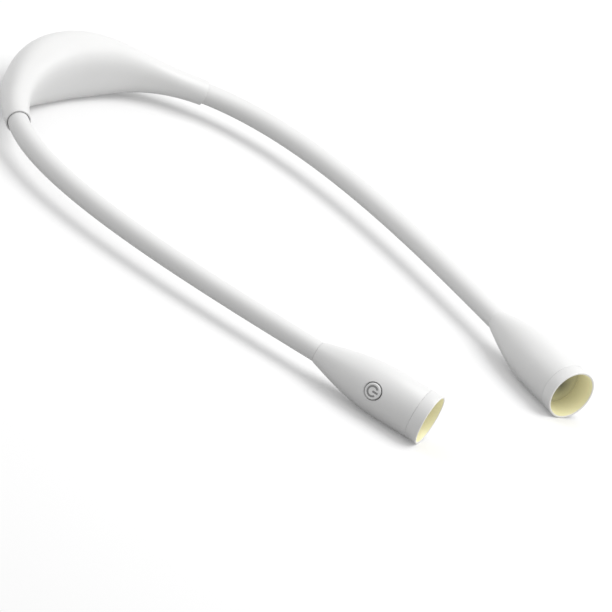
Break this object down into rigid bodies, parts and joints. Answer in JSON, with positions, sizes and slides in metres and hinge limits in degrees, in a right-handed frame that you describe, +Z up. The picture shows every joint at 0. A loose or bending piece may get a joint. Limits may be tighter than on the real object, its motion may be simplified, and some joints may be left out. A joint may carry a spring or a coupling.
{
  "type": "neck reading light",
  "caption": "Neck-worn reading light: crescent battery housing, bendable sleeved gooseneck arms, and bell-shaped torch heads with side push buttons.",
  "frame": {"origin": "centre of the housing's flat underside, on the light's plane of symmetry", "axes": "+X to the wearer's left, +Y out of the back of the neck away from the heads, +Z up when the light lies flat"},
  "size_m": [0.2058, 0.303, 0.0298],
  "materials": {
    "white_plastic": "moulded ABS, satin white",
    "cover_plastic": "moulded ABS, satin white",
    "bezel_plastic": "moulded ABS, smooth white",
    "button_plastic": "moulded ABS, smooth white",
    "white_silicone": "silicone rubber, soft matt white",
    "clear_lens": "clear to milky polycarbonate",
    "light_pipe": "clear acrylic light pipe",
    "reflector_white": "white glossy reflector",
    "led_warm": "warm white LED with phosphor",
    "circuit_board": "glass-fibre board with green solder mask",
    "aluminium": "stamped sheet",
    "steel": "wound steel gooseneck",
    "socket_steel": "tinned steel shell",
    "screw_steel": "zinc-plated steel",
    "lead_black": "PVC insulated lead",
    "battery_foil": "pouch cell foil",
    "foam": "soft foam",
    "switch_black": "moulded switch"
  },
  "bodies": {
    "housing": {"housing_shell": "white_plastic", "bottom_cover": "cover_plastic", "battery_cell_right": "battery_foil", "battery_cell_left": "battery_foil", "battery_pad_right": "foam", "battery_pad_left": "foam", "main_board": "circuit_board", "charging_socket": "socket_steel", "charge_light": "light_pipe", "cover_screw_1": "screw_steel", "cover_screw_2": "screw_steel", "cover_screw_3": "screw_steel", "cover_screw_4": "screw_steel", "housing_ferrule_right": "steel", "gooseneck_right_base": "steel", "sleeve_right": "white_silicone", "lead_right": "lead_black", "housing_ferrule_left": "steel", "gooseneck_left_base": "steel", "sleeve_left": "white_silicone", "lead_left": "lead_black"},
    "arm_right_lower": {"gooseneck_right_lower": "steel"},
    "arm_right_middle": {"gooseneck_right_middle": "steel"},
    "arm_right_upper": {"gooseneck_right_upper": "steel"},
    "arm_right_outer": {"gooseneck_right_outer": "steel"},
    "head_right": {"head_shell_right": "white_plastic", "bezel_right": "bezel_plastic", "lens_right": "clear_lens", "reflector_right": "reflector_white", "light_board_right": "circuit_board", "led_right": "led_warm", "light_carrier_right": "aluminium", "switch_board_right": "circuit_board", "switch_right": "switch_black", "head_ferrule_right": "steel", "gooseneck_right_tip": "steel"},
    "button_right": {"button_right": "button_plastic", "switch_plunger_right": "switch_black"},
    "arm_left_lower": {"gooseneck_left_lower": "steel"},
    "arm_left_middle": {"gooseneck_left_middle": "steel"},
    "arm_left_upper": {"gooseneck_left_upper": "steel"},
    "arm_left_outer": {"gooseneck_left_outer": "steel"},
    "head_left": {"head_shell_left": "white_plastic", "bezel_left": "bezel_plastic", "lens_left": "clear_lens", "reflector_left": "reflector_white", "light_board_left": "circuit_board", "led_left": "led_warm", "light_carrier_left": "aluminium", "switch_board_left": "circuit_board", "switch_left": "switch_black", "head_ferrule_left": "steel", "gooseneck_left_tip": "steel"},
    "button_left": {"button_left": "button_plastic", "switch_plunger_left": "switch_black"}
  },
  "joints": [
    {"name": "arm_right_bend_1_turn", "type": "hinge", "parent": "housing", "child": "arm_right_lower", "pos_m": [-0.08713, -0.04902, 0.0126], "axis": [0, 0, -1], "range_deg": [-3, 35], "deforming": ["sleeve_right", "lead_right"]},
    {"name": "arm_right_bend_2_lift", "type": "hinge", "parent": "arm_right_lower", "child": "arm_right_middle", "pos_m": [-0.09731, -0.08731, 0.0126], "axis": [-0.996, 0.0889, 0], "range_deg": [-35, 35], "deforming": ["sleeve_right", "lead_right"]},
    {"name": "arm_right_bend_3_turn", "type": "hinge", "parent": "arm_right_middle", "child": "arm_right_upper", "pos_m": [-0.09649, -0.12712, 0.0126], "axis": [0, 0, -1], "range_deg": [-4, 35], "deforming": ["sleeve_right", "lead_right"]},
    {"name": "arm_right_bend_4_lift", "type": "hinge", "parent": "arm_right_upper", "child": "arm_right_outer", "pos_m": [-0.08976, -0.16842, 0.0126], "axis": [-0.9789, -0.2043, 0], "range_deg": [-35, 35], "deforming": ["sleeve_right", "lead_right"]},
    {"name": "arm_right_bend_5_turn", "type": "hinge", "parent": "arm_right_outer", "child": "head_right", "pos_m": [-0.08008, -0.20915, 0.0126], "axis": [0, 0, -1], "range_deg": [-12, 35], "deforming": ["sleeve_right", "lead_right"]},
    {"name": "button_right_press", "type": "slide", "parent": "head_right", "child": "button_right", "axis": [0.9621, 0.1845, -0.2006], "range_m": [0, 0.0005], "stiffness_N_per_m": 2000},
    {"name": "arm_left_bend_1_turn", "type": "hinge", "parent": "housing", "child": "arm_left_lower", "pos_m": [0.08713, -0.04902, 0.0126], "axis": [0, 0, 1], "range_deg": [-3, 35], "deforming": ["sleeve_left", "lead_left"]},
    {"name": "arm_left_bend_2_lift", "type": "hinge", "parent": "arm_left_lower", "child": "arm_left_middle", "pos_m": [0.09731, -0.08731, 0.0126], "axis": [-0.996, -0.0889, 0], "range_deg": [-35, 35], "deforming": ["sleeve_left", "lead_left"]},
    {"name": "arm_left_bend_3_turn", "type": "hinge", "parent": "arm_left_middle", "child": "arm_left_upper", "pos_m": [0.09649, -0.12712, 0.0126], "axis": [0, 0, 1], "range_deg": [-4, 35], "deforming": ["sleeve_left", "lead_left"]},
    {"name": "arm_left_bend_4_lift", "type": "hinge", "parent": "arm_left_upper", "child": "arm_left_outer", "pos_m": [0.08976, -0.16842, 0.0126], "axis": [-0.9789, 0.2043, 0], "range_deg": [-35, 35], "deforming": ["sleeve_left", "lead_left"]},
    {"name": "arm_left_bend_5_turn", "type": "hinge", "parent": "arm_left_outer", "child": "head_left", "pos_m": [0.08008, -0.20915, 0.0126], "axis": [0, 0, 1], "range_deg": [-12, 35], "deforming": ["sleeve_left", "lead_left"]},
    {"name": "button_left_press", "type": "slide", "parent": "head_left", "child": "button_left", "axis": [-0.9621, 0.1845, -0.2006], "range_m": [0, 0.0005], "stiffness_N_per_m": 2000}
  ]
}
